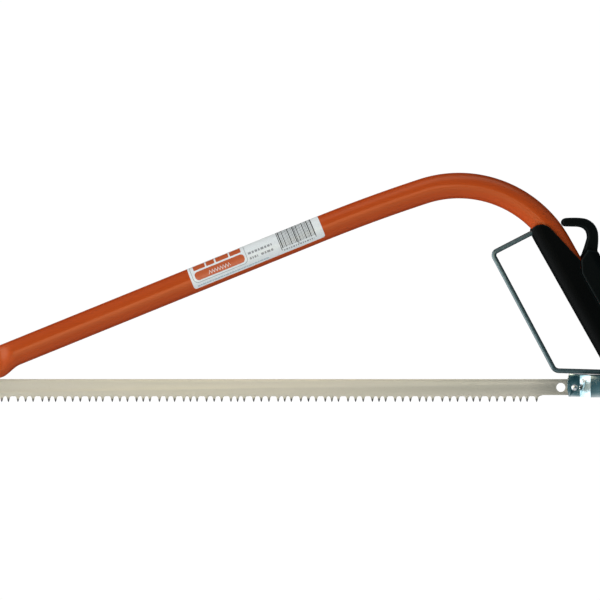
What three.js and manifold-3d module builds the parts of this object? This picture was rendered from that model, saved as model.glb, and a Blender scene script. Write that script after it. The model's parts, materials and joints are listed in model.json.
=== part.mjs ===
// Bow saw with a bent steel tube frame, an over-centre tension lever in the
// handle and a 530 mm peg-tooth blade. Millimetres, +Z up, blade along X,
// handle at +X. The saw is laid out in its own plane, XZ, with the two blade
// pins on z = 0, and is shifted at the end so that the middle of its underside
// is the origin.

import * as THREE from 'three';
import { mergeVertices } from 'three/addons/utils/BufferGeometryUtils.js';
import Module from 'manifold-3d';

const wasm = await Module();
wasm.setup();

const GAP = 0.3;
const RAD = Math.PI / 180;

// Blade
const BLADE_SPAN = 530;
const BLADE_TOP = 7.2;
const BLADE_FLANK = -6.6;
const GULLET_TOP = -7.9;
const TOOTH_TIP = -12.6;
const BLADE_THICKNESS = 0.7;
const BLADE_END = 7.5;
const SPARE_HOLE_INSET = 11.6;
const SPARE_HOLE_R = 3.9;
const TOOTH_REACH = 232.5;
const TIP_HALF = 0.3;
// Distances from tooth to tooth: a close group of three, a gap, an open group of three, a gap.
const TOOTH_STEPS = [6.57, 6.57, 8.25, 5.72, 5.72, 7.95];

// Frame tube: straight leg, long gentle bend, tight bend, rear leg
const TUBE_R = 11.1;
const TUBE_WALL = 1.2;
const NOSE_TIP = [-276, 6.6];
const GENTLE_CORNER = [88.6, 154.6];
const TIGHT_CORNER = [211.3, 194.8];
const GENTLE_R = 1400;
const TIGHT_R = 98.6;
const REAR_LEG_ANGLE = 60.5;
const TUBE_TAIL = 9;

// Nose of the tube, pressed flat and slotted for the blade
const NOSE_HALF = 6;
const NOSE_HALF_HEIGHT = 13.25;
const NOSE_DROP = 2.15;
const NOSE_FLAT_END = 44;
const NOSE_ROUND_START = 62;
const NOSE_CORNER_R = 7;

// Tension lever, hinged on the rear leg; the clevis hangs on it just past dead centre
const LINK_CRANK = 6.5;
const LINK_OVER_CENTRE = 10;
const PLATE_IN = 11.6;
const PLATE_OUT = 13.1;
const BEND_R = 3;
const LEVER_FRONT = 4.2;
const LEVER_BACK = 23.5;
const LEVER_TOP = 112;
const LEVER_FOOT = 22;
const PIVOT_R = 3;
const LEVER_HEAD_R = 9;
const LINK_HEAD_R = 7;

// Handle
const GRIP_HALF = 14.8;
const GRIP_FRONT = -16.6;
const PARTING = 3.3;
const GRIP_BACK = 27;
const GRIP_CORNER_R = 9;
const HOOK_HALF = 6;

// Blade clevis
const CHEEK_IN = 13.5;
const CHEEK_OUT = 14.9;
const CHEEK_TOP = 10.7;
const CHEEK_FOOT = -8;
const TONGUE_IN = 0.65;
const SHEET = 1.4;
const TONGUE_END = 270.5;
// The tongues are one folded sheet: the fold stands a little above them, just below the guard.
const FOLD = [[260.2, 9.3], [260.7, 11.8], [276.5, 11.35], [277.4, 9.3]];
const CHEEK_START = 277.7;
const WEB_START = 274.2;
const WEB_END = 298;
const CLEVIS_NOSE = 258.6;

// Knuckle guard rod
const GUARD_R = 2.1;

const rearPin = [BLADE_SPAN / 2, 0];
const frontPin = [-BLADE_SPAN / 2, 0];
const legDown = [Math.cos(REAR_LEG_ANGLE * RAD), -Math.sin(REAR_LEG_ANGLE * RAD)];
const legBack = [-legDown[1], legDown[0]];
const pivotZ = -LINK_CRANK * Math.sin(LINK_OVER_CENTRE * RAD);
const pivot = [TIGHT_CORNER[0] + (TIGHT_CORNER[1] - pivotZ) / Math.tan(REAR_LEG_ANGLE * RAD), pivotZ];
const link = [pivot[0] + LINK_CRANK * Math.cos(LINK_OVER_CENTRE * RAD), 0];

// A point of the handle: up the rear leg from the lever pivot, and back from the leg's axis.
function onLeg(up, back) {
  return [
    pivot[0] - up * legDown[0] + back * legBack[0],
    pivot[1] - up * legDown[1] + back * legBack[1],
  ];
}

// Solids and booleans

function toSolid(geometry) {
  const bare = geometry.clone();
  bare.deleteAttribute('normal');
  bare.deleteAttribute('uv');
  const merged = mergeVertices(bare, 1e-4);
  return new wasm.Manifold(new wasm.Mesh({
    numProp: 3,
    vertProperties: new Float32Array(merged.attributes.position.array),
    triVerts: new Uint32Array(merged.index.array),
  }));
}

function toGeometry(solid) {
  const mesh = solid.getMesh();
  const geometry = new THREE.BufferGeometry();
  geometry.setAttribute('position', new THREE.BufferAttribute(new Float32Array(mesh.vertProperties), 3));
  geometry.setIndex(new THREE.BufferAttribute(new Uint32Array(mesh.triVerts), 1));
  geometry.computeVertexNormals();
  return geometry;
}

function outline(points) {
  return new THREE.Shape(points.map(([x, z]) => new THREE.Vector2(x, z)));
}

// A flat plate: its outline lies in XZ and it is thick along Y, from yLow to yHigh.
function plate(shape, yLow, yHigh, curveSegments = 6) {
  const geometry = new THREE.ExtrudeGeometry(shape, {
    depth: yHigh - yLow, bevelEnabled: false, curveSegments,
  });
  geometry.rotateX(Math.PI / 2);
  geometry.translate(0, yHigh, 0);
  return toSolid(geometry);
}

// A round bar along Y.
function crossBar([x, z], radius, yLow, yHigh, sides = 20) {
  const geometry = new THREE.CylinderGeometry(radius, radius, yHigh - yLow, sides);
  geometry.translate(x, (yLow + yHigh) / 2, z);
  return toSolid(geometry);
}

// A bar with a constant section along the rear leg; the section is drawn as (y, back).
function legBar(shape, upLow, upHigh, curveSegments = 5) {
  const geometry = new THREE.ExtrudeGeometry(shape, {
    depth: upHigh - upLow, bevelEnabled: false, curveSegments,
  });
  const [x, z] = onLeg(upHigh, 0);
  const placed = new THREE.Matrix4().makeBasis(
    new THREE.Vector3(0, 1, 0),
    new THREE.Vector3(legBack[0], 0, legBack[1]),
    new THREE.Vector3(legDown[0], 0, legDown[1]),
  ).setPosition(x, 0, z);
  geometry.applyMatrix4(placed);
  return toSolid(geometry);
}

// A route in XZ through straight runs and round bends, sampled once per straight
// step and bendSteps times per bend.
class BentRoute extends THREE.Curve {
  constructor(points, bends, runSteps, bendSteps) {
    super();
    this.stops = [];
    const corners = points.map(([x, z]) => new THREE.Vector3(x, 0, z));
    let from = corners[0];
    corners.slice(1, -1).forEach((corner, i) => {
      const into = corner.clone().sub(corners[i]).normalize();
      const out = corners[i + 2].clone().sub(corner).normalize();
      const turn = into.angleTo(out);
      const reach = bends[i] * Math.tan(turn / 2);
      const start = corner.clone().addScaledVector(into, -reach);
      this.addRun(from, start, runSteps[i]);
      this.addBend(start, into, out, turn, bends[i], bendSteps[i]);
      from = corner.clone().addScaledVector(out, reach);
    });
    this.addRun(from, corners[corners.length - 1], runSteps[corners.length - 2], true);
  }

  addRun(from, to, steps, last = false) {
    for (let k = 0; k < steps + (last ? 1 : 0); k += 1) {
      this.stops.push(from.clone().lerp(to, k / steps));
    }
  }

  addBend(start, into, out, turn, radius, steps) {
    const inward = out.clone().addScaledVector(into, -Math.cos(turn)).normalize();
    for (let k = 0; k < steps; k += 1) {
      const angle = turn * k / steps;
      this.stops.push(start.clone()
        .addScaledVector(into, radius * Math.sin(angle))
        .addScaledVector(inward, radius * (1 - Math.cos(angle))));
    }
  }

  get steps() {
    return this.stops.length - 1;
  }

  getUtoTmapping(u) {
    return u;
  }

  getPoint(t, target = new THREE.Vector3()) {
    const place = Math.min(Math.max(t, 0), 1) * this.steps;
    const k = Math.min(Math.floor(place), this.steps - 1);
    return target.lerpVectors(this.stops[k], this.stops[k + 1], place - k);
  }
}

function sweep(route, shape, sides) {
  return new THREE.ExtrudeGeometry(shape, {
    extrudePath: route, steps: route.steps, bevelEnabled: false, curveSegments: sides / 2,
  });
}

function disc(radius) {
  return new THREE.Shape().absarc(0, 0, radius, 0, 2 * Math.PI);
}

function ring(outer, inner) {
  const shape = disc(outer);
  shape.holes.push(new THREE.Path().absarc(0, 0, inner, 0, 2 * Math.PI, true));
  return shape;
}

function roundedBox(xLow, xHigh, zLow, zHigh, radius) {
  const shape = new THREE.Shape();
  shape.absarc(xHigh - radius, zHigh - radius, radius, 0, Math.PI / 2);
  shape.absarc(xLow + radius, zHigh - radius, radius, Math.PI / 2, Math.PI);
  shape.absarc(xLow + radius, zLow + radius, radius, Math.PI, 1.5 * Math.PI);
  shape.absarc(xHigh - radius, zLow + radius, radius, 1.5 * Math.PI, 2 * Math.PI);
  return shape;
}

// A bar with a head at each end of a shank, all round about one axis along Y.
function headedPin([x, z], shankR, yLow, yHigh, heads, sides = 20) {
  let solid = crossBar([x, z], shankR, yLow, yHigh, sides);
  heads.forEach(([radius, from, to]) => {
    solid = solid.add(crossBar([x, z], radius, from, to, sides));
  });
  return solid;
}

// Frame tube

const tubeEnd = onLeg(-TUBE_TAIL, 0);
const frameRoute = new BentRoute(
  [NOSE_TIP, GENTLE_CORNER, TIGHT_CORNER, tubeEnd],
  [GENTLE_R, TIGHT_R],
  [18, 1, 2],
  [4, 16],
);
const noseAngle = Math.atan2(GENTLE_CORNER[1] - NOSE_TIP[1], GENTLE_CORNER[0] - NOSE_TIP[0]);
const noseFrame = new THREE.Matrix4()
  .makeBasis(
    new THREE.Vector3(Math.cos(noseAngle), 0, Math.sin(noseAngle)),
    new THREE.Vector3(0, 1, 0),
    new THREE.Vector3(-Math.sin(noseAngle), 0, Math.cos(noseAngle)),
  )
  .setPosition(NOSE_TIP[0], 0, NOSE_TIP[1]);

// The tube's first stretch is pressed flat: each ring of it becomes a flat-sided oval
// that has kept its wall thickness and hangs a little lower than the round tube.
function pressNose(geometry) {
  const position = geometry.attributes.position;
  const toNose = noseFrame.clone().invert();
  const vertex = new THREE.Vector3();
  for (let i = 0; i < position.count; i += 1) {
    vertex.fromBufferAttribute(position, i).applyMatrix4(toNose);
    if (vertex.x < NOSE_ROUND_START) {
      const press = 1 - THREE.MathUtils.smoothstep(vertex.x, NOSE_FLAT_END, NOSE_ROUND_START);
      const radius = Math.hypot(vertex.y, vertex.z);
      const inset = TUBE_R - radius;
      const side = THREE.MathUtils.clamp(vertex.y / (0.8 * radius), -1, 1) * (NOSE_HALF - inset);
      const height = vertex.z / radius * (NOSE_HALF_HEIGHT - inset) - NOSE_DROP;
      vertex.y = THREE.MathUtils.lerp(vertex.y, side, press);
      vertex.z = THREE.MathUtils.lerp(vertex.z, height, press);
    }
    vertex.applyMatrix4(noseFrame);
    position.setXYZ(i, vertex.x, vertex.y, vertex.z);
  }
  return geometry;
}

// Route stops of the straight leg sit where the nose changes shape.
function spaceNoseStops(route) {
  const direction = new THREE.Vector3(Math.cos(noseAngle), 0, Math.sin(noseAngle));
  const stations = [0, 12, 24, 36, 44, 47, 50, 53, 56, 59, 62];
  const runEnd = route.stops[18].distanceTo(route.stops[0]);
  for (let k = 0; k < 18; k += 1) {
    const rest = (k - 10) / 8;
    const along = k < stations.length ? stations[k] : THREE.MathUtils.lerp(62, runEnd, rest);
    route.stops[k].set(NOSE_TIP[0], 0, NOSE_TIP[1]).addScaledVector(direction, along);
  }
}
spaceNoseStops(frameRoute);

function frameTube() {
  const bare = sweep(frameRoute, ring(TUBE_R, TUBE_R - TUBE_WALL), 24);
  return toSolid(pressNose(bare));
}

// The bare round tube, made larger by a clearance: what is cut from the pieces around it.
function tubeRoom(clearance) {
  return toSolid(sweep(frameRoute, disc(TUBE_R + clearance), 24));
}

// Knuckle guard: a rod bent into three sides of a frame, its ends in the tube's front wall

const guardRoute = new BentRoute(
  [[303.4, 13.0], [248.3, 14.5], [194.2, 116.1], [233.4, 136.3]],
  [6, 4],
  [2, 2, 2],
  [6, 6],
);

function guardRod(radius, sides) {
  return toSolid(sweep(guardRoute, disc(radius), sides));
}

// Blade

function toothTips() {
  const tips = [];
  let x = TOOTH_REACH;
  for (let k = 0; x >= -TOOTH_REACH - 1; k += 1) {
    tips.push(x);
    // The last tooth opens a close group, so the walk to the front starts with a gap.
    x -= TOOTH_STEPS[(2 + k) % TOOTH_STEPS.length];
  }
  return tips;
}

function bladeOutline() {
  const left = frontPin[0] - BLADE_END;
  const right = rearPin[0] + BLADE_END;
  const corner = 2.5;
  const shape = new THREE.Shape();
  shape.moveTo(left + corner, BLADE_TOP);
  shape.quadraticCurveTo(left, BLADE_TOP, left, BLADE_TOP - corner);
  shape.lineTo(left, BLADE_FLANK + corner);
  shape.quadraticCurveTo(left, BLADE_FLANK, left + corner, BLADE_FLANK);
  const tips = toothTips().reverse();
  shape.lineTo(tips[0] - 5, BLADE_FLANK);
  tips.forEach((tip) => {
    shape.lineTo(tip - 2.35, GULLET_TOP + 0.1);
    shape.lineTo(tip - 1.45, GULLET_TOP - 0.9);
    shape.lineTo(tip - TIP_HALF, TOOTH_TIP);
    shape.lineTo(tip + TIP_HALF, TOOTH_TIP);
    shape.lineTo(tip + 1.45, GULLET_TOP - 0.9);
    shape.lineTo(tip + 2.35, GULLET_TOP + 0.1);
  });
  shape.lineTo(tips[tips.length - 1] + 5, BLADE_FLANK);
  shape.lineTo(right - corner, BLADE_FLANK);
  shape.quadraticCurveTo(right, BLADE_FLANK, right, BLADE_FLANK + corner);
  shape.lineTo(right, BLADE_TOP - corner);
  shape.quadraticCurveTo(right, BLADE_TOP, right - corner, BLADE_TOP);
  return shape;
}

function sawBlade(pinHoleR) {
  const half = BLADE_THICKNESS / 2;
  let blade = plate(bladeOutline(), -half, half, 3);
  [[rearPin[0], pinHoleR], [frontPin[0], pinHoleR],
    [rearPin[0] - SPARE_HOLE_INSET, SPARE_HOLE_R],
    [frontPin[0] + SPARE_HOLE_INSET, SPARE_HOLE_R]].forEach(([x, radius]) => {
    blade = blade.subtract(crossBar([x, 0], radius, -1, 1, 24));
  });
  return blade;
}

// Blade clevis: a folded sheet with two cheeks, a roof between them and two tongues on the blade

function cheekPlan(side) {
  const tail = link[0] + LINK_HEAD_R;
  const points = [
    [CLEVIS_NOSE, TONGUE_IN],
    [TONGUE_END, TONGUE_IN],
    [CHEEK_START, CHEEK_IN],
    [tail, CHEEK_IN],
    [tail, CHEEK_OUT],
    [CHEEK_START - 0.6, CHEEK_OUT],
    [TONGUE_END - 0.8, TONGUE_IN + SHEET],
    [CLEVIS_NOSE, TONGUE_IN + SHEET],
  ];
  return outline(points.map(([x, y]) => [x, side * y]));
}

function roofPlan() {
  const slope = (CHEEK_IN - TONGUE_IN) / (CHEEK_START - TONGUE_END);
  const half = TONGUE_IN + slope * (WEB_START - TONGUE_END) + 0.4;
  const wide = CHEEK_IN + 0.4;
  return outline([
    [WEB_START, half], [CHEEK_START, wide], [WEB_END, wide],
    [WEB_END, -wide], [CHEEK_START, -wide], [WEB_START, -half],
  ]);
}

function upright(shape, zLow, zHigh) {
  const geometry = new THREE.ExtrudeGeometry(shape, { depth: zHigh - zLow, bevelEnabled: false });
  geometry.translate(0, 0, zLow);
  return toSolid(geometry);
}

// Side view of the clevis: a bulging front edge, and cheeks that narrow to a round end on the link.
function clevisSide() {
  const shape = new THREE.Shape();
  const [x, z] = link;
  shape.moveTo(CLEVIS_NOSE + 1.8, CHEEK_FOOT);
  shape.quadraticCurveTo(CLEVIS_NOSE - 1.6, (CHEEK_TOP + CHEEK_FOOT) / 2, CLEVIS_NOSE + 1.8, CHEEK_TOP);
  shape.lineTo(WEB_END, CHEEK_TOP);
  shape.lineTo(x, z + LINK_HEAD_R);
  shape.absarc(x, z, LINK_HEAD_R, Math.PI / 2, -Math.PI / 2, true);
  shape.lineTo(WEB_END, CHEEK_FOOT);
  return shape;
}

function bladeClevis(pinHoleR, linkHoleR) {
  const cheeks = [1, -1].map((side) => upright(cheekPlan(side), CHEEK_FOOT, CHEEK_TOP));
  let clevis = cheeks[0].add(cheeks[1]).add(upright(roofPlan(), CHEEK_TOP - SHEET, CHEEK_TOP));
  clevis = clevis.intersect(plate(clevisSide(), -20, 20, 8));
  clevis = clevis.add(plate(outline(FOLD), -TONGUE_IN - SHEET, TONGUE_IN + SHEET));
  clevis = clevis.subtract(crossBar(rearPin, pinHoleR, -5, 5));
  clevis = clevis.subtract(crossBar(link, linkHoleR, -20, 20));
  return clevis.subtract(crossBar([rearPin[0] + 5.2, 0], 0.8, -5, 5, 12));
}

// Tension lever: a steel channel that is open to the front and straddles the rear leg

function leverSide(front, back, foot, top) {
  return outline([
    onLeg(foot, front), onLeg(top, front), onLeg(top, back), onLeg(LEVER_FOOT, back),
    onLeg(-7, LINK_CRANK + 4.5), onLeg(-2, 0),
  ]);
}

// The channel's two long bends, as a bar along the leg that is rounded at the back.
function channelBar(half, back) {
  const bend = BEND_R + back - LEVER_BACK;
  return legBar(roundedBox(-half, half, -40, back, bend), -30, LEVER_TOP + 20);
}

function tensionLever() {
  let lever = plate(leverSide(LEVER_FRONT, LEVER_BACK, 5, LEVER_TOP), -PLATE_OUT, PLATE_OUT);
  lever = lever.intersect(channelBar(PLATE_OUT, LEVER_BACK));
  lever = lever.add(crossBar(pivot, LEVER_HEAD_R, -PLATE_OUT, PLATE_OUT, 32));
  lever = lever.add(crossBar(link, LINK_HEAD_R - 0.3, -PLATE_OUT, PLATE_OUT, 28));
  const inside = outline([
    onLeg(-30, -20), onLeg(LEVER_TOP + 5, -20),
    onLeg(LEVER_TOP + 5, LEVER_BACK - 1.5), onLeg(-30, LEVER_BACK - 1.5),
  ]);
  lever = lever.subtract(plate(inside, -PLATE_IN, PLATE_IN));
  lever = lever.subtract(crossBar(pivot, PIVOT_R + GAP, -20, 20));
  return lever.subtract(crossBar(link, 2.5 + GAP, -20, 20));
}

// Handle halves: a fixed grip in front of the leg and a cover on the lever behind it

function gripSection(front, back) {
  return roundedBox(-GRIP_HALF, GRIP_HALF, front, back, GRIP_CORNER_R);
}

function frontGripSide() {
  const shape = new THREE.Shape();
  const at = (up, back) => onLeg(up, back);
  shape.moveTo(...at(23.6, GRIP_FRONT));
  shape.lineTo(...at(156, GRIP_FRONT + 0.6));
  shape.quadraticCurveTo(...at(167.3, GRIP_FRONT + 0.5), ...at(167.4, -12.5));
  shape.quadraticCurveTo(...at(168, -4.5), ...at(160.3, -0.9));
  shape.lineTo(...at(122.9, 8));
  shape.lineTo(...at(113, PARTING - 0.3));
  shape.lineTo(...at(11.3, PARTING - 0.3));
  return shape;
}

function frontGrip() {
  const block = legBar(gripSection(GRIP_FRONT, 40), 5, 175);
  let grip = plate(frontGripSide(), -GRIP_HALF, GRIP_HALF).intersect(block);
  grip = grip.subtract(tubeRoom(GAP));
  grip = grip.subtract(guardRod(GUARD_R + GAP, 12));
  screwPlaces().forEach((place) => {
    grip = grip.subtract(crossBar(place, 1.9, 8, 16, 14));
    grip = grip.subtract(crossBar(place, 3.6, 12.6, 16, 16));
  });
  return grip;
}

function screwPlaces() {
  return [onLeg(132, -4), onLeg(60, -4)];
}

function rivetPlaces() {
  return [onLeg(98, 17.5), onLeg(44, 17.5)];
}

function leverGripSide() {
  const shape = new THREE.Shape();
  const at = (up, back) => onLeg(up, back);
  shape.moveTo(...at(30, PARTING + 0.2));
  shape.lineTo(...at(112.4, PARTING + 0.2));
  shape.lineTo(...at(122.6, 8.5));
  shape.lineTo(...at(127.5, 18));
  shape.lineTo(...at(121, 25.6));
  shape.quadraticCurveTo(...at(113, 24.5), ...at(100, GRIP_BACK - 0.6));
  shape.quadraticCurveTo(...at(90, GRIP_BACK), ...at(80, GRIP_BACK));
  shape.lineTo(...at(40, GRIP_BACK));
  shape.quadraticCurveTo(...at(28, GRIP_BACK), ...at(27, 17));
  return shape;
}

// The hook for a finger or a peg: an upright neck that bends forward into a short arm.
function hookSide() {
  const shape = new THREE.Shape();
  const [footX, footZ] = onLeg(122.4, 8.9);
  const [backX, backZ] = onLeg(112, 25);
  shape.moveTo(footX, footZ);
  shape.quadraticCurveTo(273.4, 118.8, 276.4, 129.5);
  shape.quadraticCurveTo(276.8, 138.6, 267.8, 139.1);
  shape.lineTo(257.9, 139.3);
  shape.absarc(257.6, 142.9, 3.6, -Math.PI / 2, -1.45 * Math.PI, true);
  shape.quadraticCurveTo(270, 147.2, 275, 145.6);
  shape.quadraticCurveTo(283.6, 142.2, 285.1, 133.4);
  shape.quadraticCurveTo(285.6, 124, 284.5, 119);
  shape.quadraticCurveTo(284.6, 115.4, backX, backZ);
  return shape;
}

function leverGrip() {
  const block = legBar(gripSection(-30, GRIP_BACK), 5, 140);
  let grip = plate(leverGripSide(), -GRIP_HALF, GRIP_HALF).intersect(block);
  const cavity = outline([
    onLeg(0, -20), onLeg(LEVER_TOP + GAP, -20),
    onLeg(LEVER_TOP + GAP, LEVER_BACK + GAP), onLeg(0, LEVER_BACK + GAP),
  ]);
  const room = plate(cavity, -PLATE_OUT - GAP, PLATE_OUT + GAP);
  grip = grip.subtract(room.intersect(channelBar(PLATE_OUT + GAP, LEVER_BACK + GAP)));
  grip = grip.add(plate(hookSide(), -HOOK_HALF, HOOK_HALF, 5));
  grip = grip.subtract(tubeRoom(GAP));
  rivetPlaces().forEach((place) => {
    grip = grip.subtract(crossBar(place, 2 + GAP, -20, 20, 14));
  });
  return grip;
}

// Assembly

const part = new THREE.Group();
const saw = new THREE.Group();
part.add(saw);

function addPiece(name, solid, colour, roughness, metalness) {
  const geometry = solid.isBufferGeometry ? solid : toGeometry(solid);
  const material = new THREE.MeshStandardMaterial({ color: colour, roughness, metalness });
  const mesh = new THREE.Mesh(geometry, material);
  mesh.name = name;
  saw.add(mesh);
}

const ENAMEL = [0xc0522a, 0.3, 0.1];
const BLACK_PLASTIC = [0x14191a, 0.55, 0];
const DARK_ROD = [0x2c3f42, 0.3, 0.6];
const PLATED = [0x54707a, 0.25, 0.9];
const BRIGHT = [0xc4ccd0, 0.3, 0.9];
const BLADE_STEEL = [0xb6b0a0, 0.45, 0.8];
const PAPER = [0xdfe3e4, 0.6, 0];

function cutFrame() {
  let frame = frameTube();
  const noseBlock = new THREE.BoxGeometry(30, 40, 60).applyMatrix4(noseFrame);
  const kept = roundedBox(0, 60, -NOSE_DROP - NOSE_HALF_HEIGHT - 0.2, TUBE_R + 0.2, NOSE_CORNER_R);
  const keptGeometry = new THREE.ExtrudeGeometry(kept, { depth: 40, bevelEnabled: false, curveSegments: 5 });
  keptGeometry.rotateX(Math.PI / 2);
  keptGeometry.translate(0, 20, 0);
  keptGeometry.applyMatrix4(noseFrame);
  frame = frame.subtract(toSolid(noseBlock).subtract(toSolid(keptGeometry)));

  // A slot along the underside of the nose lets the blade in.
  const slot = outline([[-290, -30], [-228, -30], [-228, 9], [-290, 9]]);
  frame = frame.subtract(plate(slot, -1.2, 1.2));

  // A notch in both sides of the nose, open to the front, holds the blade's front pin.
  const notch = new THREE.Shape();
  const notchR = 2.5 + GAP;
  const notchDip = 1.1;
  const [pinX, pinZ] = frontPin;
  notch.absarc(pinX, pinZ - notchDip, notchR, -Math.PI / 2, 0);
  notch.absarc(pinX, pinZ, notchR, 0, Math.PI / 2);
  notch.lineTo(pinX - 7, pinZ + 4.1);
  notch.lineTo(pinX - 30, pinZ + 4.1);
  notch.lineTo(pinX - 30, pinZ - 4.1);
  notch.lineTo(pinX - 2, pinZ - 4.1);
  frame = frame.subtract(plate(notch, -20, 20));

  frame = frame.subtract(crossBar(pivot, PIVOT_R + GAP, -20, 20));
  frame = frame.subtract(guardRod(GUARD_R + GAP, 12));
  screwPlaces().forEach((place) => {
    frame = frame.subtract(crossBar(place, 1.9, 0, 16, 14));
  });
  return frame;
}

addPiece('frame_tube', cutFrame(), ...ENAMEL);

// Paper label, wrapped round the front and the top of the straight leg.
const LABEL_START = 227;
const LABEL_LENGTH = 121.5;
const labelSection = new THREE.Shape();
labelSection.absarc(0, 0, TUBE_R + 0.45, -45 * RAD, 105 * RAD);
labelSection.absarc(0, 0, TUBE_R + 0.3, 105 * RAD, -45 * RAD, true);
const label = new THREE.ExtrudeGeometry(labelSection, {
  depth: LABEL_LENGTH, bevelEnabled: false, curveSegments: 12,
});
const labelFrame = new THREE.Matrix4().makeBasis(
  new THREE.Vector3(0, -1, 0),
  new THREE.Vector3(-Math.sin(noseAngle), 0, Math.cos(noseAngle)),
  new THREE.Vector3(-Math.cos(noseAngle), 0, -Math.sin(noseAngle)),
);
label.applyMatrix4(labelFrame);
const labelEnd = LABEL_START + LABEL_LENGTH;
label.translate(
  NOSE_TIP[0] + labelEnd * Math.cos(noseAngle), 0, NOSE_TIP[1] + labelEnd * Math.sin(noseAngle),
);
addPiece('frame_label', toSolid(label), ...PAPER);

const plugStub = legBar(disc(TUBE_R - TUBE_WALL - 0.4), -TUBE_TAIL - 0.6, -TUBE_TAIL + 4.5, 12);
const plugRim = legBar(disc(TUBE_R - 0.2), -TUBE_TAIL - GAP - 1.5, -TUBE_TAIL - GAP, 12);
addPiece('tube_end_plug', plugStub.add(plugRim), ...BLACK_PLASTIC);

addPiece('knuckle_guard', guardRod(GUARD_R, 12), ...DARK_ROD);
addPiece('front_grip', frontGrip(), ...BLACK_PLASTIC);
['upper', 'lower'].forEach((which, i) => {
  const screw = headedPin(screwPlaces()[i], 1.6, 8.5, 14.5, [[3.2, 12.9, 14.5]], 16);
  addPiece(`front_grip_screw_${which}`, screw, ...PLATED);
});

const pivotPin = headedPin(pivot, PIVOT_R, -PLATE_OUT, PLATE_OUT, []);
addPiece('lever_pivot_pin', pivotPin, ...BRIGHT);
addPiece('tension_lever', rivetPlaces().reduce(
  (lever, place) => lever.subtract(crossBar(place, 2 + GAP, -20, 20, 14)), tensionLever(),
), ...PLATED);
addPiece('lever_grip', leverGrip(), ...BLACK_PLASTIC);
['upper', 'lower'].forEach((which, i) => {
  const heads = [[3.4, GRIP_HALF + GAP, 16], [3.4, -16, -GRIP_HALF - GAP]];
  addPiece(`lever_grip_rivet_${which}`, headedPin(rivetPlaces()[i], 2, -15.5, 15.5, heads, 16), ...BRIGHT);
});
[['left', -1], ['right', 1]].forEach(([which, side]) => {
  const span = (near, far) => (side > 0 ? [near, far] : [-far, -near]);
  const head = [4.5, ...span(CHEEK_OUT + GAP, 16.4)];
  addPiece(`link_rivet_${which}`, headedPin(link, 2.5, ...span(PLATE_IN, 16), [head]), ...BRIGHT);
});

addPiece('blade_clevis', bladeClevis(2 + GAP, 2.5 + GAP), ...PLATED);
const tongueOut = TONGUE_IN + SHEET;
const blindHeads = [[2.7, tongueOut + GAP, 3.6], [2.7, -3.6, -tongueOut - GAP]];
addPiece('blade_rear_pin', headedPin(rearPin, 2, -3.2, 3.2, blindHeads), ...BRIGHT);
addPiece('saw_blade', sawBlade(2.5 + GAP), ...BLADE_STEEL);
const washer = [NOSE_HALF + 0.4, NOSE_HALF + 1.2];
const noseHead = [[4.2, -washer[1] - 1.7, -washer[1] - GAP]];
addPiece('nose_pin', headedPin(frontPin, 2.5, -8.5, 8.6, noseHead), ...BRIGHT);
const pinBore = crossBar(frontPin, 2.5 + GAP, -20, 20);
addPiece('nose_pin_washer', crossBar(frontPin, 5.2, -washer[1], -washer[0]).subtract(pinBore), ...PLATED);
addPiece('nose_pin_clip', crossBar(frontPin, 4.2, ...washer).subtract(pinBore), ...PLATED);

const box = new THREE.Box3().setFromObject(part);
saw.position.set(-(box.min.x + box.max.x) / 2, -(box.min.y + box.max.y) / 2, -box.min.z);

export default part;
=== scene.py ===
"""A bow saw: a bent enamelled tube, a knuckle guard, a toggle lever in its handle and a peg-tooth blade."""

import json
import math

import bmesh
import bpy
from mathutils import Matrix, Vector


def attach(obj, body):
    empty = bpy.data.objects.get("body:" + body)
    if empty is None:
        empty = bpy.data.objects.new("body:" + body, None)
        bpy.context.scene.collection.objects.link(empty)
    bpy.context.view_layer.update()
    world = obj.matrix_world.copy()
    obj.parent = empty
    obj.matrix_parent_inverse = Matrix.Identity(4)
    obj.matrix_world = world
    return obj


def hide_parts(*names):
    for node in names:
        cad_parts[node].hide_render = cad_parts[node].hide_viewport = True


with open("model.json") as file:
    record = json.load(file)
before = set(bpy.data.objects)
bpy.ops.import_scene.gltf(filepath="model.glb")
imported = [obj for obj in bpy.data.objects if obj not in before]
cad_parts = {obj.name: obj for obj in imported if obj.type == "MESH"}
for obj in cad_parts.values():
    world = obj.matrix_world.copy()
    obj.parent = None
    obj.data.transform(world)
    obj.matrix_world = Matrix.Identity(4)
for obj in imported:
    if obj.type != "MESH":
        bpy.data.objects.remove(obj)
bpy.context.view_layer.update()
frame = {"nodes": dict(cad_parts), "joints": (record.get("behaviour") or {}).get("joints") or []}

MM = 0.001
BLADE_SPAN = 530.0
JOINTS = {joint["name"]: Vector(joint["pos_m"]) for joint in frame["joints"]}
REAR_PIN = JOINTS["blade_rear_hinge"]
LEVER_PIVOT = JOINTS["tension_lever_hinge"]
LINK_PIN = JOINTS["clevis_link_hinge"]

# The pieces are drawn in millimetres in the saw's own plane: the blade's two pins are on z = 0 and the
# middle of the blade is x = 0. This matrix takes them to the frame.
SAW = Matrix.Translation(REAR_PIN) @ Matrix.Scale(MM, 4) @ Matrix.Translation((-BLADE_SPAN / 2, 0, 0))


def in_saw(point):
    """A point of the frame, in the saw's plane in millimetres."""
    return SAW.inverted() @ point


# Frame tube
TUBE_R = 11.1
TUBE_WALL = 1.2
NOSE_TIP = Vector((-276, 0, 6.6))
GENTLE_CORNER = Vector((88.6, 0, 154.6))
TIGHT_CORNER = Vector((211.3, 0, 194.8))
GENTLE_R = 1400.0
TIGHT_R = 98.6
NOSE_HALF = 6.0
NOSE_HALF_HEIGHT = 13.25
NOSE_DROP = 2.15
NOSE_FLAT_END = 44.0
NOSE_ROUND_START = 62.0

pivot = in_saw(LEVER_PIVOT)
link = in_saw(LINK_PIN)
leg_down = (pivot - TIGHT_CORNER).normalized()
leg_back = Vector((-leg_down.z, 0, leg_down.x))


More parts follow.
